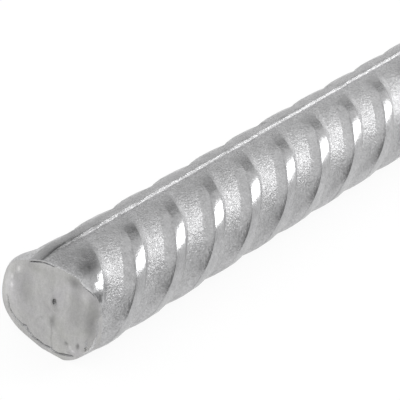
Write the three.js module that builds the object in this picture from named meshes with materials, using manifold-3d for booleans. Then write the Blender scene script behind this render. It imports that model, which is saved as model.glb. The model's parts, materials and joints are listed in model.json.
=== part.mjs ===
// A ribbed reinforcing bar in a short stock length: one hot-rolled piece, sheared off at both ends.
// Millimetres, +Z up. The bar lies along Y on the level Z = 0, its middle over the origin.
//
// The solid is the rolled section: a round core and, on opposite sides, the two low fins that the
// rolls leave where they meet. The two rows of slanting crescent ribs between the fins are relief that
// this solid doesn't show one by one. Their steel is spread evenly along the bar, which widens the
// body a little across the rows, so the section has the mass and the lie of the ribbed bar.

import * as THREE from "three";
import { mergeVertices } from "three/addons/utils/BufferGeometryUtils.js";
import Module from "manifold-3d";

const { PI, sin, cos, acos, sqrt } = Math;
const degrees = PI / 180;

// ---- Driving dimensions -------------------------------------------------------------------------

const LENGTH = 600; // along the axis, between the middles of the two cut faces
const CORE_DIAMETER = 15.5; // between the ribs of a bar of 16 mm nominal size
const RIB_STEEL = 0.29; // what a row of ribs adds to its side of the body, spread along the bar
const FIN_HEIGHT = 0.55; // flat top of a fin above the core
const FIN_TOP_WIDTH = 2.3; // flat top, between its two rounded edges
const FIN_EDGE_RADIUS = 0.35;
const FIN_FLANK_ANGLE = 50 * degrees; // slope of a fin's side below its flat top
const FIN_ROOT_RADIUS = 0.9; // hollow where a fin runs into the body

const SHEAR_LEAN = 8 * degrees; // the near cut face overhangs by this much towards its top
const SHEAR_SKEW = 4 * degrees; // and turns this far about the vertical
const ROLLOVER_RADIUS = 2.4; // skin drawn over the rim on the side where the blade went in
const ROLLOVER_BITE = 1.3; // how far in from the body's side that rounding starts

const BODY_STEPS = 20; // facets on a quarter of the body
const EDGE_STEPS = 4; // facets on a fin's rounded edge and on its root
const ROLLOVER_STEPS = 6;
const FORM_STEPS = 72; // facets round the form that trims an end

// ---- The rolled section -------------------------------------------------------------------------

const coreRadius = CORE_DIAMETER / 2;
const bodyWidth = CORE_DIAMETER + 2 * RIB_STEEL;
const bodyCentre = new THREE.Vector2(RIB_STEEL, 0); // of the arc on the side of one row of ribs
const finEdge = new THREE.Vector2(FIN_TOP_WIDTH / 2, coreRadius + FIN_HEIGHT - FIN_EDGE_RADIUS);

function arc(centre, radius, from, to, steps) {
  return Array.from({ length: steps + 1 }, (_, i) => {
    const angle = from + ((to - from) * i) / steps;
    return new THREE.Vector2(centre.x + radius * cos(angle), centre.y + radius * sin(angle));
  });
}

// Centre of the root's hollow: it touches the straight flank and the outside of the body.
function rootCentre(flankTop, down, out) {
  const start = flankTop.clone().addScaledVector(out, FIN_ROOT_RADIUS);
  const fromBody = start.clone().sub(bodyCentre);
  const reach = coreRadius + FIN_ROOT_RADIUS;
  const along = fromBody.dot(down);
  return start.addScaledVector(down, -along - sqrt(along ** 2 - fromBody.lengthSq() + reach ** 2));
}

// From the fin's flat top, over its edge, down the flank and round a quarter of the body.
function quarterOutline() {
  const facing = PI / 2 - FIN_FLANK_ANGLE;
  const out = new THREE.Vector2(cos(facing), sin(facing));
  const down = new THREE.Vector2(sin(facing), -cos(facing));
  const flankTop = finEdge.clone().addScaledVector(out, FIN_EDGE_RADIUS);
  const root = rootCentre(flankTop, down, out);
  const rootAngle = root.clone().sub(bodyCentre).angle();
  return [
    ...arc(finEdge, FIN_EDGE_RADIUS, PI / 2, facing, EDGE_STEPS),
    ...arc(root, FIN_ROOT_RADIUS, facing + PI, rootAngle + PI, EDGE_STEPS),
    ...arc(bodyCentre, coreRadius, rootAngle, 0, BODY_STEPS).slice(1),
  ];
}

function sectionShape() {
  const quarter = quarterOutline();
  const mirrored = quarter.slice(0, -1).reverse().map((p) => new THREE.Vector2(p.x, -p.y));
  const half = [...quarter, ...mirrored];
  return new THREE.Shape([...half, ...half.map((p) => p.clone().negate())]);
}

// Unheld, the bar leans until its body and the nearer edge of its lower fin both touch the floor.
const edgeFromBody = finEdge.clone().sub(bodyCentre);
const lean = PI / 2 - edgeFromBody.angle() + acos((coreRadius - FIN_EDGE_RADIUS) / edgeFromBody.length());
const axisHeight = coreRadius + RIB_STEEL * sin(lean);

// ---- Solids -------------------------------------------------------------------------------------

const wasm = await Module();
wasm.setup();

function solid(geometry) {
  const bare = geometry.clone();
  bare.deleteAttribute("normal");
  bare.deleteAttribute("uv");
  const merged = mergeVertices(bare, 1e-4);
  const vertProperties = new Float32Array(merged.attributes.position.array);
  const triVerts = new Uint32Array(merged.index.array);
  return new wasm.Manifold(new wasm.Mesh({ numProp: 3, vertProperties, triVerts }));
}

function toGeometry(made) {
  const mesh = made.getMesh();
  const geometry = new THREE.BufferGeometry();
  geometry.setAttribute("position", new THREE.BufferAttribute(mesh.vertProperties, 3));
  geometry.setIndex(new THREE.BufferAttribute(mesh.triVerts, 1));
  const faceted = geometry.toNonIndexed();
  faceted.computeVertexNormals();
  return faceted;
}

// The section drawn out along Y, longer than the bar so that both cuts go right through it.
function rolledStock() {
  const spare = 4 * bodyWidth;
  const geometry = new THREE.ExtrudeGeometry(sectionShape(), {
    depth: LENGTH + spare,
    bevelEnabled: false,
  });
  geometry.translate(0, 0, -(LENGTH + spare) / 2);
  geometry.rotateX(-PI / 2); // drawn out along Y, the upper fin on top
  geometry.rotateY(-lean);
  return geometry.translate(0, 0, axisHeight);
}

// What one stroke of the shear leaves: a leaning flat face whose rim is rounded on the side where the
// blade went in. The form is a turned shape, wider than the bar and set off to the other side, so
// that only that part of its rounding reaches the stock. The offcut is all that lies outside it.
// At the near end, end is -1. The next stroke cuts the far end, end is 1: parallel to the first, with
// the blade going in on the other side.
function offcut(end) {
  const formRadius = bodyWidth;
  const rim = new THREE.Vector2(formRadius - ROLLOVER_RADIUS, ROLLOVER_RADIUS);
  const formLength = 2 * bodyWidth;
  const form = new THREE.LatheGeometry([
    new THREE.Vector2(0, 0),
    ...arc(rim, ROLLOVER_RADIUS, -PI / 2, 0, ROLLOVER_STEPS),
    new THREE.Vector2(formRadius, formLength),
    new THREE.Vector2(0, formLength),
  ], FORM_STEPS);
  form.translate(formRadius - bodyWidth / 2 + ROLLOVER_BITE - ROLLOVER_RADIUS, 0, 0);
  if (end > 0) form.rotateZ(PI);
  form.rotateX(SHEAR_LEAN).rotateZ(SHEAR_SKEW);

  const blockWidth = 8 * bodyWidth;
  const block = new THREE.BoxGeometry(blockWidth, blockWidth, blockWidth);
  block.translate(0, end * (blockWidth / 2 - bodyWidth), 0);
  return solid(block).subtract(solid(form)).translate([0, (end * LENGTH) / 2, axisHeight]);
}

const barSolid = solid(rolledStock()).subtract(offcut(-1)).subtract(offcut(1));

// ---- The part -----------------------------------------------------------------------------------

const bareSteel = new THREE.MeshStandardMaterial({
  color: 0xa9a9ab,
  roughness: 0.45,
  metalness: 1,
});

const bar = new THREE.Mesh(toGeometry(barSolid), bareSteel);
bar.name = "ribbed_bar";

const part = new THREE.Group();
part.add(bar);

export default part;
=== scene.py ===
import json
from bisect import bisect_left
from math import atan2, cos, degrees, hypot, pi, radians, sin, tan

import bpy
from mathutils import Matrix, Vector


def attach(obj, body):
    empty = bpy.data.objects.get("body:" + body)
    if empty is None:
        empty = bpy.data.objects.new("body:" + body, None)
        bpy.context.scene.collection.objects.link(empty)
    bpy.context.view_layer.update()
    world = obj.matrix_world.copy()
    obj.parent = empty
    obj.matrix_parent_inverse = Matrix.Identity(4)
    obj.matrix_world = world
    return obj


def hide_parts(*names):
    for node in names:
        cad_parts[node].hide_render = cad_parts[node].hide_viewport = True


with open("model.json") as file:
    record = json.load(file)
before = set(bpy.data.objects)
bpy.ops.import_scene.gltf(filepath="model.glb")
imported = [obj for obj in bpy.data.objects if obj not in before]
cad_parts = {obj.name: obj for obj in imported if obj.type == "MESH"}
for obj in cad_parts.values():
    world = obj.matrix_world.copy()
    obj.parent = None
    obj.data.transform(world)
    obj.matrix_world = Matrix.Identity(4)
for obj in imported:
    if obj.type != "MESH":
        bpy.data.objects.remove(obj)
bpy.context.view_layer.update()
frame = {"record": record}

MM = 0.001
SAME_PLACE = 1e-6  # points nearer to each other than this are one point
ON_FACE = 1e-6  # a point this near to a cut's plane is on its face
SEAM_GAP = 1e-5  # the bent skin's two edges meet within this

# ---- Places that come from the frame ------------------------------------------------------------

ends = {mount["name"]: mount for mount in frame["record"]["mounts"]}
NEAR_END = Vector(ends["near_end"]["pos_m"])
FAR_END = Vector(ends["far_end"]["pos_m"])
NEAR_FACING = Vector(ends["near_end"]["axis"])
FAR_FACING = Vector(ends["far_end"]["axis"])
AXIS_HEIGHT = NEAR_END.z
LENGTH = FAR_END.y - NEAR_END.y

# ---- Sizes of the rolled bar --------------------------------------------------------------------
# Angles on the rolled skin count from the middle of the upper fin, towards the near row of ribs.

CORE_RADIUS = 7.75 * MM
LEAN = radians(28.4)  # how far the upper fin leans over to the side of the far row

FIN_HEIGHT = 0.36 * MM
FIN_CROWN = 0.05 * MM  # a fin's top is crowned: this much lower at its edges
FIN_TOP_EDGE = radians(8.4)  # the top ends here, counted from its middle
FIN_SIDE = radians(0.9)  # how far its steep side reaches
FIN_ROOT = 0.06 * MM  # height at which that runs into a long hollow
FIN_FOOT = radians(16)  # the hollow has run out into the core here

RIB_PITCH = 9.6 * MM
RIB_HEIGHT = 1.04 * MM
RIB_SLANT = radians(36.45)  # ribs slant this far from straight across the bar
RIB_FULL = radians(40)  # a rib keeps its height this far from the middle of its row
RIB_END = radians(67.5)  # then slopes straight down, and has run out here
RIB_CROWN = 0.3  # besides, its whole back is curved: this share lower at its ends
RIB_END_WIDTH = 0.85  # share of its width that a crest still has where the rib runs out
CREST_HALF = 1.12 * MM  # along the bar, middle of a crest to its edge
FLANK_FOOT = 2.9 * MM  # and to the foot of its flank
FLANK_SOFTEN = 0.06  # share of a flank that its rounded corners take up at either end
END_SOFTEN = 0.16  # and of the slope that a rib ends in
FIRST_RIB = 7.77 * MM  # along the bar, near end to the first crest of the near row, at the upper fin
FAR_ROW_SHIFT = 3.0 * MM  # the far row's ribs sit this much further along
FAR_ROW_TURN = radians(6)  # and this much nearer to the upper fin

# Each crest's edge towards the near end is worn down on its two shoulders.
WEAR = 0.09 * MM
SHOULDER = 32  # degrees from the middle of a row
SHOULDER_HALF = 12  # degrees

# Points of the skin, before the ends are cut
FIN_COLUMNS = (0, 4, 7.8, 8.4, 8.8, 9.5, 11, 13, 16, 20)  # degrees either side of a fin's middle
COLUMN_STEP = 6.3  # degrees between columns on the body, about
ROWS = (0, 1.02, 1.22, 2.0, 2.8, 3.0, 3.9)  # mm either side of a crest's middle
SPARE_TILES = 2  # one beyond either end, cut off later

UNEVEN_HEIGHT = 0.1 * MM  # gentle waves of the rolled skin
UNEVEN_SIZE = 4 * MM
FIN_UNEVEN = 0.5 * MM  # rougher waves of the edges that the rolls have left along the fins
FIN_UNEVEN_SIZE = 2.5 * MM

# ---- Tones of the rolled skin, as shares of the steel's own, with painted light and shade among them ---

FIN_PAINTED_SHADE = 0.08  # painted shade on the fins' tops
FIN_FADES = radians(0.5)  # over this much beside a top
FIN_RUBBED = 0.3  # a fin's top is rubbed smooth by this share of what a crest is
CREST_FADES = 0.3 * MM  # the rubbed crest ends over this much on its flank towards the far end
FLANK_PAINTED_LIGHT = 0.08  # painted light on the flanks that face the far end
ROOT_PAINTED_LIGHT = 0.2  # painted light in the hollow at the foot of a fin
ROOT_FADES = radians(24)  # which has faded out here

# Painted light: the skin gets lighter along the bar between these two distances from the near end, to this
# tone.
PAINTED_LIGHT_FROM = 35 * MM
PAINTED_LIGHT_TO = 75 * MM
PAINTED_LIGHT_TONE = 1.07

# ---- Sizes of the sheared ends ------------------------------------------------------------------
# On a face, seen from outside, places are in mm, to the right and up from its middle. Angles round it
# are in degrees, clockwise from its top.

SKIN_CUTS = (0.2, 0.45, 0.8, 1.2, 1.8, 2.6, 3.8, 5.4)  # mm behind the cut, extra rings in the skin
FACE_RINGS = (0.985, 0.965, 0.94, 0.915, 0.885, 0.85, 0.81, 0.77, 0.72, 0.67, 0.61, 0.55, 0.48, 0.41,
              0.34, 0.27, 0.2, 0.13, 0.06)  # shares of the way out to the rim
FACE_BAND = 0.1 * MM  # a point this near to the plane still counts as the face's when it was pushed

# The blades squash the end: how far its rim stands from the axis, in mm, every 20 degrees from the top.
SQUASHED_RIM = (7.6, 8.0, 8.6, 8.3, 8.0, 7.9, 8.1, 8.3, 8.5, 8.1, 7.8, 8.6, 9.6, 9.6, 9.4, 9.0, 7.6, 7.7)
SQUASH_REACH = 7 * MM  # the skin is pressed in this far behind the cut
DRAWN_IN = 1.02  # smoothing a form of so few corners draws it in, so it starts this much wider
FORM_LENGTH = 6 * CORE_RADIUS
FORM_LEVELS = 3  # of smoothing

# Stretches of the rim: middle, half length, and half of what has the full effect.
SQUASHED = (-100, 147, 112)
BURRS = ((2, 18, 10), (37, 10, 5), (118, 18, 8))
CRACKS = ((-28, 14, 4), (-12, 9, 5), (39, 10, 4))

# Rims drawn over, wide and smooth on the left and tighter on the right: middle and half length, then
# the rounding's size and how far the rim is drawn back and in, in mm.
ROUNDED_RIMS = ((-85, 62, 3.0, 0.68), (86, 56, 3.0, 0.9))
NEAR_ROUNDED_RIM = (130, 34, 1.8, 0.36)  # one more on the near end, low on the right

FACE_CROWN = 0.35  # mm, the whole face is slightly crowned
CROWN_REACH = 9  # mm from the middle, where a wider face would have no crown left
BURR_HEIGHT = 0.2  # mm
BURR_FROM = 0.96  # share of the way out where the burr starts to rise
BURR_PAINTED_HIGHLIGHT = 0.35  # painted highlight on the burr: how much lighter it is than the face
CRACK_AT = 0.965  # share of the way out to the rim
CRACK_HALF = 0.02

# What has torn on the near face. Depths are in mm, a recess goes down to TORN_DEPTH at the most.
TORN_DEPTH = 0.25
CREASE = (
    (-7.7, -2.4), (-7.2, -4.2), (-6.3, -5.0), (-5.4, -5.4), (-4.5, -5.7), (-3.9, -5.5), (-3.4, -6.1),
    (-2.5, -6.8), (-1.6, -6.9), (-0.6, -7.15), (0.4, -7.0), (1.0, -7.3), (1.9, -7.25), (2.9, -6.85),
    (4.0, -6.5),
)
CREASE_HALF = 0.3  # from its line to its edge
CREASE_SHARE = 0.95  # of the full depth
HAIRLINE = ((0.2, -2.6), (0.45, -4.2), (0.4, -5.3), (0.65, -6.9))
HAIRLINE_HALF = 0.2
HAIRLINE_SHARE = 0.3
PITS = (  # right, up, half width, half height, depth
    (0.2, 1.55, 0.75, 1.35, 0.15),
    (0.3, -1.9, 0.6, 1.3, 0.05),
    (-1.5, -2.3, 0.5, 0.45, 0.06),
    (4.75, -4.1, 0.4, 0.9, 0.1),
    (2.9, -4.6, 0.5, 0.5, 0.08),
)
FACE_BLOTCHES_AND_PAINTED_LIGHT = (  # right, up, half width, half height, how much lighter or darker; blotches of the face, painted light and painted shade among them
    (0.6, 0.0, 0.85, 2.0, -0.2),
    (0.3, -1.9, 0.95, 1.7, -0.26),
    # painted light on the rounded left rim
    (-8.0, 0.0, 1.9, 6.5, 0.26),
    (-4.8, 1.2, 1.8, 5.0, -0.21),
    (3.6, 1.8, 1.9, 7.5, -0.23),
    (4.6, 4.8, 1.1, 1.8, 0.18),
    # painted shade where the rim rounds away on the right
    (6.4, 1.4, 2.2, 7.0, -0.36),
    # painted shade in two pits, on this line and the next
    (4.75, -4.1, 0.5, 1.0, -0.3),
    (2.9, -4.5, 0.6, 0.7, -0.2),
    (3.6, -4.9, 0.45, 0.6, 0.25),
    (4.1, -5.4, 0.5, 0.4, 0.3),
    (3.5, -6.0, 0.6, 0.3, -0.25),
    (2.7, 6.5, 1.7, 1.5, -0.4),
    (-3.4, 5.6, 2.6, 1.2, -0.12),
    # painted highlights on the rounded left rim, on this line and the next two
    (-6.3, 3.65, 0.7, 0.8, 0.45),
    (-7.3, 1.8, 0.5, 0.7, 0.35),
    (-7.0, 0.35, 0.5, 0.8, 0.45),
)
SKIN_BLOTCHES_AND_PAINTED_LIGHT = (  # degrees from the top, mm behind the face, half of each, how much lighter or darker; blotches, painted reflections, highlights and shade of the skin
    # painted dark reflection on the first rib's crest
    (22, 2.7, 15, 3.2, -0.56),
    (0, 2.5, 45, 6.5, -0.24),
    (-21, 5, 5, 12.0, -0.45),
    (-26, 5, 22, 14.0, -0.3),
    (-31, 20, 9, 18.0, -0.15),
    # painted shade over the first valley's highlight
    (50, 3.2, 14, 3.2, -0.25),
    # painted highlight in the first valley
    (35, 5.3, 13, 2.6, 0.3),
    # painted light on the squashed skin just behind the cut
    (56, 1.0, 8, 1.6, 0.25),
    # painted dark reflection on the second rib's crest
    (20, 15.1, 15, 2.5, -0.42),
)
BLOTCHED = 40 * MM  # blotches and painted light and shade of the skin reach no further than this behind the face

# The near face is cut finer round its marks, once within each of these distances in mm.
REFINED_WITHIN = (0.7, 0.4)
REFINED_RIM = (-50, 165)  # and along this stretch of the rim
FACE_RADIUS = 7  # mm, roughly
SMALL_MARK = 0.8  # mm, wider pits and blotches need no finer faces


def select_only(piece):
    bpy.ops.object.select_all(action="DESELECT")
    piece.select_set(True)
    bpy.context.view_layer.objects.active = piece


def apply_placing(piece):
    select_only(piece)
    bpy.ops.object.transform_apply(location=True, rotation=True, scale=True)


def apply_modifier(piece, kind, **settings):
    modifier = piece.modifiers.new(kind.lower(), kind)
    for name, value in settings.items():
        setattr(modifier, name, value)
    select_only(piece)
    bpy.ops.object.modifier_apply(modifier=modifier.name)


def apply_weighed(piece, weights, kind, **settings):
    """Apply a modifier that acts on each point by its weight."""
    group = piece.vertex_groups.new(name="weights")
    for index, weight in enumerate(weights):
        if weight > 0:
            group.add([index], weight, "REPLACE")
    apply_modifier(piece, kind, vertex_group="weights", **settings)
    piece.vertex_groups.remove(piece.vertex_groups["weights"])


def push(piece, weights, move):
    """Move each point by its weight's share of a straight move, one axis after the other."""
    for axis, distance in zip("XYZ", move):
        if distance:
            apply_weighed(piece, weights, "DISPLACE", direction=axis, mid_level=0.0, strength=distance)


def note(piece, name, values):
    """Keep a value for each point that the finish reads."""
    attribute = piece.data.attributes.new(name, "FLOAT", "POINT")
    attribute.data.foreach_set("value", values)


def clamp(value):
    return max(0.0, min(1.0, value))


def fall(t):
    """1 below 0, 0 above 1, smooth in between."""
    t = clamp(t)
    return 1 - t * t * (3 - 2 * t)


def slope(t, soften):
    """1 below 0, 0 above 1, straight in between with softened corners."""
    return sum(clamp(1 - t + off) for off in (-soften, 0.0, soften)) / 3


# ---- The rolled skin ----------------------------------------------------------------------------


def from_fin(angle):
    """How far this angle is from the middle of the nearer fin."""
    return min(abs(angle), pi - abs(angle))


def fin_relief(angle):
    """Height of the fins over the core. The skin is still flat here, and a flat top stays flat
    through the bend if its height grows towards its edges."""
    off = from_fin(angle)
    inside = min(off, FIN_TOP_EDGE)
    top = (CORE_RADIUS + FIN_HEIGHT) / cos(inside) - CORE_RADIUS - FIN_CROWN * (inside / FIN_TOP_EDGE) ** 2
    root = FIN_ROOT * clamp((FIN_FOOT - off) / (FIN_FOOT - FIN_TOP_EDGE)) ** 2
    return root + (top - root) * clamp(1 - (off - FIN_TOP_EDGE) / FIN_SIDE)


def crescent(angle):
    """Share of the full height that a rib has at this angle."""
    off = abs(angle - pi / 2) if angle > 0 else abs(angle + pi / 2 - FAR_ROW_TURN)
    crown = 1 - RIB_CROWN * (off / RIB_END) ** 2
    return slope((off - RIB_FULL) / (RIB_END - RIB_FULL), END_SOFTEN) * crown


def rib_side(angle, along):
    """Share of a rib's height at a place along the bar: flat crest and straight flanks."""
    crest_half = CREST_HALF * (RIB_END_WIDTH + (1 - RIB_END_WIDTH) * crescent(angle))
    return slope((abs(along) - crest_half) / (FLANK_FOOT - crest_half), FLANK_SOFTEN)


def wear(angle, along):
    """1 where a crest is worn down most: on its shoulders, on the edge towards the near end."""
    off = degrees(abs(abs(angle) - pi / 2))
    return clamp(-along / CREST_HALF) * fall(abs(off - SHOULDER) / SHOULDER_HALF)


def on_fin(angle):
    """1 on top of the fins, 0 beside them."""
    return clamp(1 - (from_fin(angle) - FIN_TOP_EDGE) / FIN_FADES)


def on_far_flank(angle, along):
    """1 on the flanks that face the far end, 0 elsewhere."""
    return 1.0 if crescent(angle) > 0 and CREST_HALF < along < FLANK_FOOT else 0.0


def in_root(angle):
    """1 at a fin's foot, fading out towards the ribs."""
    off = from_fin(angle)
    if off <= FIN_TOP_EDGE + FIN_SIDE:
        return 0.0
    return clamp((ROOT_FADES - off) / (ROOT_FADES - FIN_TOP_EDGE))


def rubbed(angle, along):
    """1 on the crests of the ribs, 0 on the body between them, some on the fins."""
    side = rib_side(angle, along) if along < 0 else fall((along - CREST_HALF) / CREST_FADES)
    return max(crescent(angle) ** 0.5 * side, FIN_RUBBED * on_fin(angle))


def tone(angle, along):
    """Painted light and shade: how much lighter or darker the rolled skin is than the steel's own tone."""
    return (FLANK_PAINTED_LIGHT * on_far_flank(angle, along) + ROOT_PAINTED_LIGHT * in_root(angle)
            - FIN_PAINTED_SHADE * on_fin(angle))


def column_angles():
    """Angles of the columns of points round the skin, closer together at the fins."""
    body = 90 - FIN_COLUMNS[-1]
    steps = round(body / COLUMN_STEP)
    quarter = [*FIN_COLUMNS, *(FIN_COLUMNS[-1] + body * i / steps for i in range(1, steps + 1))]
    half = quarter + [180 - a for a in reversed(quarter[:-1])]
    return [radians(a) for a in sorted({round(s * a, 6) for a in half for s in (-1, 1)})]


def bisect_all(places, axis):
    normal = Vector((0, 0, 0))
    normal[axis] = 1
    for place in places:
        bpy.ops.mesh.select_all(action="SELECT")
        bpy.ops.mesh.bisect(plane_co=normal * place, plane_no=normal, threshold=SAME_PLACE)


def skin_tile():
    """One pitch of the bar's skin laid out flat: X out of the steel, Y along the bar, Z round it."""
    bpy.ops.mesh.primitive_plane_add(size=1)
    tile = bpy.context.object
    tile.scale = (2 * pi * CORE_RADIUS, RIB_PITCH, 1)
    tile.rotation_euler = (0, pi / 2, 0)
    apply_placing(tile)
    bpy.ops.object.mode_set(mode="EDIT")
    bisect_all([-CORE_RADIUS * a for a in column_angles()[1:-1]], 2)
    bisect_all(sorted({s * r * MM for r in ROWS for s in (-1, 1)}), 1)
    bpy.ops.object.mode_set(mode="OBJECT")
    return tile


def slide(angle):
    """How far the skin is slid towards the near end at this angle: further and further down from the
    upper fin, which slants the ribs, and less under the far row, which sets that row further along."""
    slid = FAR_ROW_SHIFT + tan(RIB_SLANT) * CORE_RADIUS * abs(angle)
    if angle < 0:
        slid -= FAR_ROW_SHIFT * (1 - fall(from_fin(angle) / (pi / 2 - RIB_END - FAR_ROW_TURN)))
    return slid


def relief_tile():
    """One pitch of the skin in relief, with a rib of either row and the fins. It keeps the values
    that its finish reads."""
    tile = skin_tile()
    places = [(-v.co.z / CORE_RADIUS, v.co.y) for v in tile.data.vertices]
    note(tile, "crest", [rubbed(angle, along) for angle, along in places])
    note(tile, "shade", [tone(angle, along) for angle, along in places])
    highest = RIB_HEIGHT + FIN_HEIGHT

    def height(angle, along):
        rib = (RIB_HEIGHT * crescent(angle) - WEAR * wear(angle, along)) * rib_side(angle, along)
        return max(rib, fin_relief(angle))

    push(tile, [height(angle, along) / highest for angle, along in places], (highest, 0, 0))
    push(tile, [slide(angle) / slide(pi) for angle, along in places], (0, -slide(pi), 0))
    return tile


def make_uneven(bar):
    """Give the skin its gentle waves, and the edges of the fins their rougher ones."""
    waves = bpy.data.textures.new("waves", "CLOUDS")
    waves.noise_scale = UNEVEN_SIZE
    apply_modifier(bar, "DISPLACE", texture=waves, strength=UNEVEN_HEIGHT, mid_level=0.5)

    def on_fin_edge(co):
        """1 at the edges of the fins' tops, 0 beyond their sides."""
        angle = (atan2(co.x, co.z - AXIS_HEIGHT) + LEAN) % pi
        return fall((abs(from_fin(angle) - FIN_TOP_EDGE) - FIN_SIDE) / FIN_SIDE)

    waves.noise_scale = FIN_UNEVEN_SIZE
    weights = [on_fin_edge(v.co) for v in bar.data.vertices]
    apply_weighed(bar, weights, "DISPLACE", texture=waves, strength=FIN_UNEVEN, mid_level=0.5)


def rolled_bar():
    """The rolled bar, longer than the finished one at both ends: tiles in a row, bent round."""
    bar = relief_tile()
    spare = 2 * CORE_RADIUS + slide(pi)
    count = round((LENGTH + spare) / RIB_PITCH) + SPARE_TILES
    apply_modifier(bar, "ARRAY", count=count, use_relative_offset=False, use_constant_offset=True,
                   constant_offset_displace=(0, RIB_PITCH, 0), use_merge_vertices=True,
                   merge_threshold=SAME_PLACE)
    apply_modifier(bar, "SIMPLE_DEFORM", deform_method="BEND", deform_axis="Y", angle=-2 * pi)
    bpy.ops.object.mode_set(mode="EDIT")
    bpy.ops.mesh.select_all(action="SELECT")
    bpy.ops.mesh.remove_doubles(threshold=SEAM_GAP)
    bpy.ops.object.mode_set(mode="OBJECT")
    # the bend leaves the axis one radius off: bring it to the origin, then lay the bar down
    bar.location = (CORE_RADIUS, 0, 0)
    apply_placing(bar)
    bar.rotation_euler = (0, -(pi / 2 + LEAN), 0)
    bar.location = (0, NEAR_END.y + FIRST_RIB + slide(0) - RIB_PITCH, AXIS_HEIGHT)
    apply_placing(bar)
    make_uneven(bar)
    return bar


# ---- The sheared ends ---------------------------------------------------------------------------


class Cut:
    """One cut face. Places on it are told by angle from the top, depth and distance from the middle."""

    def __init__(self, middle, facing):
        self.middle, self.facing = middle, facing
        self.up = (Vector((0, 0, 1)) - facing * facing.z).normalized()
        self.side = self.up.cross(facing)
        self.rim = []

    def depth(self, co):
        """How far behind the face a place is."""
        return -(co - self.middle).dot(self.facing)

    def place(self, co):
        """Angle from the top, depth behind the face, how far sideways and up from its middle."""
        depth = self.depth(co)
        flat = co - self.middle + self.facing * depth
        sideways, up = flat.dot(self.side), flat.dot(self.up)
        return degrees(atan2(sideways, up)), depth, sideways, up

    def measure_rim(self, bar):
        rim = []
        for v in bar.data.vertices:
            angle, depth, sideways, up = self.place(v.co)
            if abs(depth) < ON_FACE:
                rim.append((angle, hypot(sideways, up)))
        rim.sort()
        self.rim = [(rim[-1][0] - 360, rim[-1][1])] + rim + [(rim[0][0] + 360, rim[0][1])]

    def out_share(self, co):
        """0 at the middle of the face, 1 at its rim."""
        angle, depth, sideways, up = self.place(co)
        after = bisect_left(self.rim, (angle, 0))
        (a0, r0), (a1, r1) = self.rim[after - 1], self.rim[after]
        t = (angle - a0) / (a1 - a0) if a1 > a0 else 0.0
        return hypot(sideways, up) / (r0 + (r1 - r0) * t)

    def outward(self, co):
        """Direction from the middle of the face out to a place."""
        angle = radians(self.place(co)[0])
        return self.up * cos(angle) + self.side * sin(angle)


def window(angle, middle, half, full=0.0):
    """1 round the middle of a stretch of the rim, 0 at its ends and beyond."""
    off = abs((angle - middle + 180) % 360 - 180)
    return fall((off - full) / (half - full))


def saw(bar, cut):
    """Cut the bar off, and cut rings into the skin behind the cut."""
    bpy.ops.object.mode_set(mode="EDIT")
    bpy.ops.mesh.select_all(action="SELECT")
    bpy.ops.mesh.bisect(plane_co=cut.middle, plane_no=cut.facing, clear_outer=True, threshold=SAME_PLACE)
    for depth in SKIN_CUTS:
        bpy.ops.mesh.select_all(action="SELECT")
        bpy.ops.mesh.bisect(plane_co=cut.middle - cut.facing * depth * MM, plane_no=cut.facing,
                            threshold=SAME_PLACE)
    bpy.ops.mesh.select_all(action="DESELECT")
    bpy.ops.object.mode_set(mode="OBJECT")


def squash(bar, cut):
    """Press the end of the skin on to a form with the squashed outline."""
    steps = len(SQUASHED_RIM)
    bpy.ops.mesh.primitive_cylinder_add(vertices=steps, radius=1, depth=FORM_LENGTH,
                                        end_fill_type="NOTHING")
    form = bpy.context.object
    for v in form.data.vertices:
        around = round(degrees(atan2(v.co.x, v.co.y)) * steps / 360) % steps
        reach = SQUASHED_RIM[around] * MM * DRAWN_IN
        v.co.x, v.co.y = v.co.x * reach, v.co.y * reach
    form.matrix_world = Matrix((cut.side, cut.up, cut.facing)).transposed().to_4x4()
    form.location = cut.middle
    apply_placing(form)
    apply_modifier(form, "SUBSURF", levels=FORM_LEVELS, render_levels=FORM_LEVELS)

    def pressed(co):
        angle, depth, sideways, up = cut.place(co)
        if depth > SQUASH_REACH:
            return 0
        return window(angle, *SQUASHED) * fall(depth / SQUASH_REACH)

    weights = [pressed(v.co) for v in bar.data.vertices]
    apply_weighed(bar, weights, "SHRINKWRAP", target=form, wrap_method="NEAREST_SURFACEPOINT")
    bpy.data.objects.remove(form)
    cut.measure_rim(bar)


def close_face(bar, cut):
    """Fill the cut with rings that shrink to its middle."""
    bpy.context.tool_settings.mesh_select_mode = (True, False, False)
    for v in bar.data.vertices:
        v.select = abs(cut.depth(v.co)) < ON_FACE
    bpy.ops.object.mode_set(mode="EDIT")
    reached = 1.0
    for share in FACE_RINGS:
        bpy.ops.mesh.extrude_region()
        bpy.ops.transform.resize(value=(share / reached,) * 3, center_override=cut.middle)
        reached = share
    bpy.ops.mesh.merge(type="CENTER")
    bpy.ops.mesh.select_all(action="DESELECT")
    bpy.ops.object.mode_set(mode="OBJECT")
    # the skin's painted light and shade end at the rim
    shades = bar.data.attributes["shade"].data
    for v in bar.data.vertices:
        if abs(cut.depth(v.co)) < ON_FACE:
            shades[v.index].value = 0.0


def face_weights(bar, cut, profile):
    """Weights for the face's points by angle, place in mm and share of the way out, 0 elsewhere."""
    def weight(co):
        angle, depth, sideways, up = cut.place(co)
        if abs(depth) > FACE_BAND:
            return 0
        return profile(angle, sideways / MM, up / MM, cut.out_share(co))
    return [weight(v.co) for v in bar.data.vertices]


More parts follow.
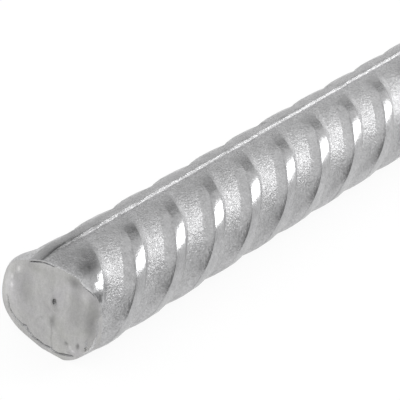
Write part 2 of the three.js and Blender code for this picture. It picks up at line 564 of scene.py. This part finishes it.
def roll_over(bar, cut, middle, half, size, reach):
    """Round the rim along a stretch of it: face and skin are drawn back and in by the same share."""
    size, reach = size * MM, reach * MM

    def share(co):
        angle, depth, sideways, up = cut.place(co)
        from_rim = (1 - cut.out_share(co)) * CORE_RADIUS if depth < ON_FACE else depth
        return window(angle, middle, half) * clamp(1 - from_rim / size) ** 2

    # weights can't be negative, so what moves the other way is a push of its own
    shares = [share(v.co) if cut.depth(v.co) <= size else 0 for v in bar.data.vertices]
    outward = [cut.outward(v.co) for v in bar.data.vertices]
    pushes = [(shares, -cut.facing)]
    for direction in (cut.side, -cut.side, cut.up, -cut.up):
        pushes.append(([s * clamp(out.dot(direction)) for s, out in zip(shares, outward)], -direction))
    for weights, direction in pushes:
        push(bar, weights, direction * reach)


def from_line(x, y, line):
    """Distance from a line of straight stretches on the face."""
    distances = []
    for (x0, y0), (x1, y1) in zip(line, line[1:]):
        dx, dy = x1 - x0, y1 - y0
        t = clamp(((x - x0) * dx + (y - y0) * dy) / (dx * dx + dy * dy))
        distances.append(hypot(x - x0 - t * dx, y - y0 - t * dy))
    return min(distances)


def from_middle(x, y, across, high, half_width, half_height):
    """How far a place is out from the middle of an oval, 1 on its outline."""
    return hypot((x - across) / half_width, (y - high) / half_height)


def pit_depth(x, y):
    return max(depth * fall(from_middle(x, y, *oval)) for *oval, depth in PITS)


def blotch(x, y, blotches):
    """How much lighter or darker a place is than the rest: blotches, painted light and painted shade."""
    return sum(much * fall(from_middle(x, y, *oval)) for *oval, much in blotches)


def cracked(angle, out):
    """1 along the cracks just inside the rim."""
    ring = clamp(1 - abs(out - CRACK_AT) / CRACK_HALF)
    return max(window(angle, *stretch) for stretch in CRACKS) * ring


def burr(angle, out):
    """1 on the edge of the rim's burr."""
    rise = clamp((out - BURR_FROM) / (1 - BURR_FROM))
    return max(window(angle, *stretch) for stretch in BURRS) * rise


def refine(bar, cut, within):
    """Cut the faces round the near end's fine marks into finer ones."""
    more = within / 2
    ovals = [(across, high, half_width + more, half_height + more)
             for across, high, half_width, half_height, much in PITS + FACE_BLOTCHES_AND_PAINTED_LIGHT
             if half_width < SMALL_MARK]

    def near_mark(co):
        angle, depth, sideways, up = cut.place(co)
        if abs(depth) > FACE_BAND:
            return False
        x, y = sideways / MM, up / MM
        on_rim = cut.out_share(co) > 1 - within / FACE_RADIUS and REFINED_RIM[0] < angle < REFINED_RIM[1]
        on_line = from_line(x, y, CREASE) < within or from_line(x, y, HAIRLINE) < more
        return on_rim or on_line or any(from_middle(x, y, *oval) < 1 for oval in ovals)

    bpy.context.tool_settings.mesh_select_mode = (False, False, True)
    for polygon in bar.data.polygons:
        polygon.select = near_mark(polygon.center)
    bpy.ops.object.mode_set(mode="EDIT")
    bpy.ops.mesh.subdivide(number_cuts=1)
    bpy.ops.mesh.select_all(action="DESELECT")
    bpy.ops.object.mode_set(mode="OBJECT")
    bpy.context.tool_settings.mesh_select_mode = (True, False, False)


def near_details(bar, cut):
    """What one stroke of a worn shear has left on the near end: tears and blotches, with painted light and
    shade on the face and the skin behind it.
    """
    for within in REFINED_WITHIN:
        refine(bar, cut, within)

    def recess(angle, x, y, out):
        crease = CREASE_SHARE * fall(from_line(x, y, CREASE) / CREASE_HALF)
        hair = HAIRLINE_SHARE * fall(from_line(x, y, HAIRLINE) / HAIRLINE_HALF)
        return clamp(max(crease, hair, cracked(angle, out), pit_depth(x, y) / TORN_DEPTH))

    def blotches_and_painted_light(co):
        angle, depth, sideways, up = cut.place(co)
        if depth > BLOTCHED:
            return 0.0
        if abs(depth) < FACE_BAND:
            # painted highlight along the edge of the burr
            lip = BURR_PAINTED_HIGHLIGHT * burr(angle, cut.out_share(co))
            return blotch(sideways / MM, up / MM, FACE_BLOTCHES_AND_PAINTED_LIGHT) + lip
        return blotch(angle, depth / MM, SKIN_BLOTCHES_AND_PAINTED_LIGHT)

    torn = face_weights(bar, cut, recess)
    note(bar, "torn", torn)
    shades = bar.data.attributes["shade"].data
    for v in bar.data.vertices:
        shades[v.index].value += blotches_and_painted_light(v.co)
    push(bar, torn, -cut.facing * (TORN_DEPTH * MM))


def work_end(bar, cut, rounded_rims):
    """Crown the face, raise the burr and draw the rims over."""
    crown = face_weights(bar, cut, lambda angle, x, y, out: clamp(1 - hypot(x, y) ** 2 / CROWN_REACH ** 2))
    push(bar, crown, cut.facing * (FACE_CROWN * MM))
    lip = face_weights(bar, cut, lambda angle, x, y, out: burr(angle, out))
    push(bar, lip, cut.facing * (BURR_HEIGHT * MM))
    for rounding in rounded_rims:
        roll_over(bar, cut, *rounding)


# ---- The bar ------------------------------------------------------------------------------------

SHARP_FROM = radians(60)  # edges that turn by more than this stay sharp

bar = rolled_bar()
bar.name = "ribbed_bar_skin"
near_cut = Cut(NEAR_END, NEAR_FACING)
far_cut = Cut(FAR_END, FAR_FACING)
for cut in (near_cut, far_cut):
    saw(bar, cut)
for cut in (near_cut, far_cut):
    squash(bar, cut)
    close_face(bar, cut)
near_details(bar, near_cut)
work_end(bar, near_cut, (*ROUNDED_RIMS, NEAR_ROUNDED_RIM))
work_end(bar, far_cut, ROUNDED_RIMS)
select_only(bar)
bpy.ops.object.shade_smooth_by_angle(angle=SHARP_FROM)
apply_modifier(bar, "WEIGHTED_NORMAL", keep_sharp=True)

# ---- Materials ----------------------------------------------------------------------------------

VALLEY_GREY = (0.485, 0.485, 0.49)
CREST_GREY = (0.43, 0.43, 0.435)
FACE_GREY = (0.484, 0.477, 0.484)
FACE_GREY_WARM = (0.480, 0.479, 0.464)

# Grains of the rolled skin: size, and the values that they run between.
SPECKLE = (0.27 * MM, -0.2, 0.2)
MOTTLE = (1.1 * MM, 0.92, 1.08)
PATCHES = (6 * MM, 0.95, 1.05)
BROKEN_EDGE = (0.6 * MM, 0.0, 0.3)
UNEVEN_SHEEN = (0.5 * MM, -0.04, 0.04)
FINE_PITTING = (0.32 * MM, 0.0, 1.0)
COARSE_PITTING = (1.2 * MM, 0.0, 0.6)
PITTING_HEIGHT = 0.06 * MM

SPECKLE_ON_CREST = 0.5  # shares of what there is between the ribs
PITTING_ON_CREST = 0.1
VALLEY_ROUGHNESS = 0.44
CREST_ROUGHNESS = 0.22
CREST_EDGE = 0.88  # how rubbed the skin is where a crest ends
CREST_EDGE_HALF = 0.1  # and how far its dark line reaches to either side of that

# Grains of a cut face: the same, and how far they are drawn out up and down.
TINTS = (4 * MM, 0.0, 1.0)
WIDE_STREAKS = (1.6 * MM, 0.95, 1.05, 4.0)
FINE_STREAKS = (0.3 * MM, 0.95, 1.05, 3.0)
FACE_SPECKLE = (0.2 * MM, 0.93, 1.07)
FACE_MOTTLE = (2.6 * MM, 0.93, 1.07)
FACE_PITTING = (0.35 * MM, 0.0, 1.0)
FACE_PITTING_HEIGHT = 0.04 * MM

FACE_ROUGHNESS = 0.46
TORN_ROUGHNESS = 0.7
TORN_PAINTED_SHADE = 0.5  # painted shade in the torn recesses, as a share of the face's own tone
NOISE_LOW, NOISE_HIGH = 0.3, 0.7  # nearly all of a noise lies between these

NODES_IN_A_ROW = 9
NODE_WIDTH = 190
NODE_HEIGHT = 240


def add_node(tree, kind, **values):
    """Add a node, with plain values on its named inputs."""
    made = tree.nodes.new(kind)
    row, column = divmod(len(tree.nodes), NODES_IN_A_ROW)
    made.location = (NODE_WIDTH * column, -NODE_HEIGHT * row)
    for name, value in values.items():
        made.inputs[name.replace("_", " ")].default_value = value
    return made


def feed(tree, socket, value):
    """Set a socket to a plain number or link it to another socket."""
    if isinstance(value, (int, float)):
        socket.default_value = value
    else:
        tree.links.new(value, socket)


def reckon(tree, operation, a, b):
    made = add_node(tree, "ShaderNodeMath")
    made.operation = operation
    feed(tree, made.inputs[0], a)
    feed(tree, made.inputs[1], b)
    return made.outputs[0]


def product(tree, first, *others):
    for other in others:
        first = reckon(tree, "MULTIPLY", first, other)
    return first


def spread(tree, value, low, high, start=0.0, end=1.0):
    """Stretch the values between start and end to run from low to high."""
    made = add_node(tree, "ShaderNodeMapRange", From_Min=start, From_Max=end, To_Min=low, To_Max=high)
    feed(tree, made.inputs["Value"], value)
    return made.outputs[0]


def noted(tree, name):
    made = add_node(tree, "ShaderNodeAttribute")
    made.attribute_name = name
    return made.outputs["Fac"]


def blend(tree, amount, a, b):
    """One colour turning into another."""
    made = add_node(tree, "ShaderNodeMix")
    made.data_type = "RGBA"
    made.inputs["A"].default_value = (*a, 1)
    made.inputs["B"].default_value = (*b, 1)
    feed(tree, made.inputs["Factor"], amount)
    return made.outputs["Result"]


def shade(tree, colour, level):
    made = add_node(tree, "ShaderNodeVectorMath")
    made.operation = "SCALE"
    tree.links.new(colour, made.inputs[0])
    feed(tree, made.inputs["Scale"], level)
    return made.outputs[0]


def along_bar(tree):
    parts = add_node(tree, "ShaderNodeSeparateXYZ")
    tree.links.new(add_node(tree, "ShaderNodeTexCoord").outputs["Object"], parts.inputs[0])
    return parts.outputs["Y"]


def roughen(tree, bsdf, height, distance):
    bump = add_node(tree, "ShaderNodeBump", Distance=distance)
    tree.links.new(height, bump.inputs["Height"])
    tree.links.new(bump.outputs[0], bsdf.inputs["Normal"])


def grain_group():
    """Grain of one size. Stretch draws it out along the bar's height."""
    tree = bpy.data.node_groups.new("grain", "ShaderNodeTree")
    for name in ("Grain Size", "Stretch", "Low", "High"):
        tree.interface.new_socket(name, in_out="INPUT", socket_type="NodeSocketFloat")
    tree.interface.new_socket("Grain", in_out="OUTPUT", socket_type="NodeSocketFloat")
    enter = tree.nodes.new("NodeGroupInput")
    leave = tree.nodes.new("NodeGroupOutput")
    coords = add_node(tree, "ShaderNodeTexCoord")
    drawn = add_node(tree, "ShaderNodeCombineXYZ", X=1.0, Y=1.0)
    tree.links.new(reckon(tree, "DIVIDE", 1.0, enter.outputs["Stretch"]), drawn.inputs["Z"])
    place = add_node(tree, "ShaderNodeVectorMath")
    place.operation = "MULTIPLY"
    tree.links.new(coords.outputs["Object"], place.inputs[0])
    tree.links.new(drawn.outputs[0], place.inputs[1])
    noise = add_node(tree, "ShaderNodeTexNoise", Detail=2.0, Roughness=0.6)
    tree.links.new(place.outputs[0], noise.inputs["Vector"])
    tree.links.new(reckon(tree, "DIVIDE", 1.0, enter.outputs["Grain Size"]), noise.inputs["Scale"])
    ranged = add_node(tree, "ShaderNodeMapRange", From_Min=NOISE_LOW, From_Max=NOISE_HIGH)
    tree.links.new(noise.outputs["Fac"], ranged.inputs["Value"])
    tree.links.new(enter.outputs["Low"], ranged.inputs["To Min"])
    tree.links.new(enter.outputs["High"], ranged.inputs["To Max"])
    tree.links.new(ranged.outputs[0], leave.inputs["Grain"])
    return tree


GRAIN = grain_group()


def grain(tree, size, low, high, stretch=1.0):
    made = add_node(tree, "ShaderNodeGroup")
    made.node_tree = GRAIN
    for name, value in (("Grain Size", size), ("Stretch", stretch), ("Low", low), ("High", high)):
        made.inputs[name].default_value = value
    return made.outputs["Grain"]


def new_steel(name):
    steel = bpy.data.materials.new(name)
    steel.use_nodes = True
    bsdf = steel.node_tree.nodes["Principled BSDF"]
    bsdf.inputs["Metallic"].default_value = 1.0
    return steel, steel.node_tree, bsdf


def rolled_steel():
    """Bare rolled skin: rough and speckled between the ribs, rubbed smooth on their crests, with painted
    light and shade.
    """
    steel, tree, bsdf = new_steel("bare_steel_skin")
    crest = noted(tree, "crest")
    valley = reckon(tree, "SUBTRACT", 1.0, crest)

    speckle = product(tree, grain(tree, *SPECKLE), spread(tree, valley, SPECKLE_ON_CREST, 1.0))
    # broken dark line where a crest meets its flank
    from_edge = reckon(tree, "ABSOLUTE", reckon(tree, "SUBTRACT", crest, CREST_EDGE), 0.0)
    edge = spread(tree, from_edge, 1.0, 0.0, 0.0, CREST_EDGE_HALF)
    broken = product(tree, edge, grain(tree, *BROKEN_EDGE))
    speckled = reckon(tree, "SUBTRACT", reckon(tree, "ADD", speckle, 1.0), broken)
    # painted light and shade of the skin, with its blotches
    painted_light_and_blotches = reckon(tree, "ADD", noted(tree, "shade"), 1.0)
    # painted light: the skin lighter further along the bar
    further = spread(tree, along_bar(tree), 1.0, PAINTED_LIGHT_TONE,
                     NEAR_END.y + PAINTED_LIGHT_FROM, NEAR_END.y + PAINTED_LIGHT_TO)
    level = product(tree, grain(tree, *MOTTLE), grain(tree, *PATCHES), speckled, painted_light_and_blotches, further)
    grey = blend(tree, crest, VALLEY_GREY, CREST_GREY)
    tree.links.new(shade(tree, grey, level), bsdf.inputs["Base Color"])

    sheen = spread(tree, crest, VALLEY_ROUGHNESS, CREST_ROUGHNESS)
    tree.links.new(reckon(tree, "ADD", sheen, grain(tree, *UNEVEN_SHEEN)), bsdf.inputs["Roughness"])

    pitting = reckon(tree, "ADD", grain(tree, *FINE_PITTING), grain(tree, *COARSE_PITTING))
    pitting = product(tree, pitting, spread(tree, valley, PITTING_ON_CREST, 1.0))
    roughen(tree, bsdf, pitting, PITTING_HEIGHT)
    return steel


def sheared_steel():
    """The cut face: dull grey with marks drawn down it by the blade, with painted shade in the torn
    recesses and painted light and shade among its blotches.
    """
    steel, tree, bsdf = new_steel("sheared_steel")
    torn = noted(tree, "torn")
    grey = blend(tree, grain(tree, *TINTS), FACE_GREY, FACE_GREY_WARM)
    grains = [grain(tree, *each) for each in (WIDE_STREAKS, FINE_STREAKS, FACE_SPECKLE, FACE_MOTTLE)]
    # the face's blotches with painted light and shade, and the burr's painted highlight
    painted_light_and_blotches = reckon(tree, "ADD", noted(tree, "shade"), 1.0)
    # painted shade darkens the torn recesses
    level = product(tree, *grains, painted_light_and_blotches, spread(tree, torn, 1.0, TORN_PAINTED_SHADE))
    tree.links.new(shade(tree, grey, level), bsdf.inputs["Base Color"])
    tree.links.new(spread(tree, torn, FACE_ROUGHNESS, TORN_ROUGHNESS), bsdf.inputs["Roughness"])
    roughen(tree, bsdf, grain(tree, *FACE_PITTING), FACE_PITTING_HEIGHT)
    return steel


SHEARED_WITHIN = 1.2 * MM  # a face with its rounded rim lies within this of the cut's plane
SHEARED_FACING = 0.6  # and what belongs to it looks along the bar by at least this share


def is_sheared(polygon):
    return any(cut.depth(polygon.center) < SHEARED_WITHIN
               and abs(polygon.normal.dot(cut.facing)) > SHEARED_FACING
               for cut in (near_cut, far_cut))


bar.data.materials.append(rolled_steel())
bar.data.materials.append(sheared_steel())
for polygon in bar.data.polygons:
    polygon.material_index = 1 if is_sheared(polygon) else 0

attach(bar, "root")
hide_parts("ribbed_bar")

# ---- Camera -------------------------------------------------------------------------------------
# In the camera's view, directions are told as right, down and ahead, and places in pixels.

PICTURE = 400  # pixels, wide and high
SENSOR = 36  # mm
LENS_PX = 2338.2  # focal length
AXIS_IN_VIEW = Vector((0.56685, -0.33550, 0.75241))  # from the near end to the far end
FIN_IN_VIEW = radians(-13.5)  # how far the upper fin is turned about the axis from straight up
FACE_AT = (53.07, 308.65)  # middle of the near face
RADIUS_PX = 56.92  # the core's radius, seen at the near face


def add_camera():
    """Place the camera where it sees the near end and the bar's direction as told above."""
    level_up = Vector((0, -AXIS_IN_VIEW.z, AXIS_IN_VIEW.y)).normalized()
    level_side = AXIS_IN_VIEW.cross(level_up)
    turn = FIN_IN_VIEW + LEAN
    up = level_up * cos(turn) + level_side * sin(turn)
    side = level_side * cos(turn) - level_up * sin(turn)
    # a camera's own axes are right, up and back
    to_view = Matrix([(v.x, -v.y, -v.z) for v in (side, AXIS_IN_VIEW, up)]).transposed()
    distance = LENS_PX / RADIUS_PX * CORE_RADIUS
    across, down = ((place - PICTURE / 2) / LENS_PX for place in FACE_AT)
    face = Vector((across, -down, -1)) * distance
    to_world = to_view.inverted()

    data = bpy.data.cameras.new("camera")
    data.sensor_width = SENSOR
    data.lens = LENS_PX * SENSOR / PICTURE
    data.clip_start = 10 * MM
    camera = bpy.data.objects.new("camera", data)
    bpy.context.scene.collection.objects.link(camera)
    camera.matrix_world = Matrix.Translation(NEAR_END - to_world @ face) @ to_world.to_4x4()
    bpy.context.scene.camera = camera


add_camera()

# ---- Floor, world and lamp ----------------------------------------------------------------------

FLOOR_SIZE = 4
FLOOR_WHITE = 0.97
FLOOR_ROUGHNESS = 0.9
FLOOR_GLOW = 1.03
FLOOR_SEEN = 0.86  # share of that glow in what the camera sees of the floor, the rest is lit
STUDIO_LIGHT = 0.92  # the walls' own light, against the white that they are seen as
WHITE = (1, 1, 1, 1)
# Dim stretches of the studio's wall: across from straight ahead along the bar, up, half width, all in
# degrees, and the share of their light that is left.
DIM_WALLS = ((-34, 26.5, 24.5, 0.32), (74, 19, 35, 0.25))

SOFTBOX_HEADING = (30.2, 32.2)  # degrees, across and up
SOFTBOX_SIZE = 0.235
SOFTBOX_DISTANCE = 0.7
SOFTBOX_LEVEL = 6.3  # times as bright as the white studio
SOFTBOX_AIM = Vector((0, -0.26, 0.01))


def seen_share(tree, to_camera):
    """How much of its own white a background shows to each kind of ray: mirrored or through glass it
    shows all of it, straight to the camera the share that is asked for, and as light none."""
    path = add_node(tree, "ShaderNodeLightPath")
    straight = reckon(tree, "MULTIPLY", path.outputs["Is Camera Ray"], to_camera)
    mirrored = reckon(tree, "ADD", path.outputs["Is Glossy Ray"], path.outputs["Is Transmission Ray"])
    share = reckon(tree, "ADD", straight, mirrored)
    share.node.use_clamp = True
    return share


def pale_floor():
    """Matt white that takes a faint shadow, part of it covered by a plain white glow."""
    pale = bpy.data.materials.new("pale_floor")
    pale.use_nodes = True
    tree = pale.node_tree
    plain = tree.nodes["Principled BSDF"]
    plain.inputs["Base Color"].default_value = (FLOOR_WHITE, FLOOR_WHITE, FLOOR_WHITE, 1)
    plain.inputs["Roughness"].default_value = FLOOR_ROUGHNESS
    plain.inputs["Specular IOR Level"].default_value = 0.0
    glow = add_node(tree, "ShaderNodeEmission", Strength=FLOOR_GLOW)
    mix = add_node(tree, "ShaderNodeMixShader")
    tree.links.new(seen_share(tree, FLOOR_SEEN), mix.inputs[0])
    tree.links.new(plain.outputs[0], mix.inputs[1])
    tree.links.new(glow.outputs[0], mix.inputs[2])
    tree.links.new(mix.outputs[0], tree.nodes["Material Output"].inputs["Surface"])
    return pale


bpy.ops.mesh.primitive_plane_add(size=FLOOR_SIZE, location=(0, 0, 0))
floor = bpy.context.object
floor.name = "floor"
floor.data.materials.append(pale_floor())


def heading(across, height):
    """A direction by its angle across from straight ahead along the bar, and its height, in degrees."""
    across, height = radians(across), radians(height)
    return Vector((sin(across) * cos(height), cos(across) * cos(height), sin(height)))


def dimmed_towards(tree, direction, reach, share):
    """1 all round, and this share towards a direction, reaching some degrees round it."""
    off = add_node(tree, "ShaderNodeVectorMath")
    off.operation = "DOT_PRODUCT"
    tree.links.new(add_node(tree, "ShaderNodeTexCoord").outputs["Generated"], off.inputs[0])
    off.inputs[1].default_value = direction
    ramp = add_node(tree, "ShaderNodeMapRange", From_Min=cos(radians(reach)), From_Max=1.0,
                    To_Min=1.0, To_Max=share)
    ramp.interpolation_type = "SMOOTHSTEP"
    tree.links.new(off.outputs["Value"], ramp.inputs["Value"])
    return ramp.outputs[0]


def add_studio():
    """A white studio with two dim stretches of wall. The camera sees it plain white."""
    world = bpy.data.worlds.new("studio")
    bpy.context.scene.world = world
    world.use_nodes = True
    tree = world.node_tree
    level = spread(tree, seen_share(tree, 1.0), STUDIO_LIGHT, 1.0)
    for across, height, reach, share in DIM_WALLS:
        level = product(tree, level, dimmed_towards(tree, heading(across, height), reach, share))
    pick = add_node(tree, "ShaderNodeMix")
    pick.data_type = "FLOAT"
    to_camera = add_node(tree, "ShaderNodeLightPath").outputs["Is Camera Ray"]
    tree.links.new(to_camera, pick.inputs["Factor"])
    tree.links.new(level, pick.inputs["A"])
    pick.inputs["B"].default_value = 1.0
    background = tree.nodes["Background"]
    background.inputs["Color"].default_value = WHITE
    tree.links.new(pick.outputs["Result"], background.inputs["Strength"])


def add_softbox():
    direction = heading(*SOFTBOX_HEADING)
    lamp = bpy.data.lights.new("softbox", "AREA")
    lamp.shape = "SQUARE"
    lamp.size = SOFTBOX_SIZE
    # an area lamp's brightness is its power over pi times its area
    lamp.energy = SOFTBOX_LEVEL * pi * SOFTBOX_SIZE ** 2
    softbox = bpy.data.objects.new("softbox", lamp)
    bpy.context.scene.collection.objects.link(softbox)
    softbox.location = SOFTBOX_AIM + direction * SOFTBOX_DISTANCE
    softbox.rotation_euler = (-direction).to_track_quat("-Z", "Y").to_euler()


add_studio()
add_softbox()
bpy.context.scene.view_settings.view_transform = "Standard"
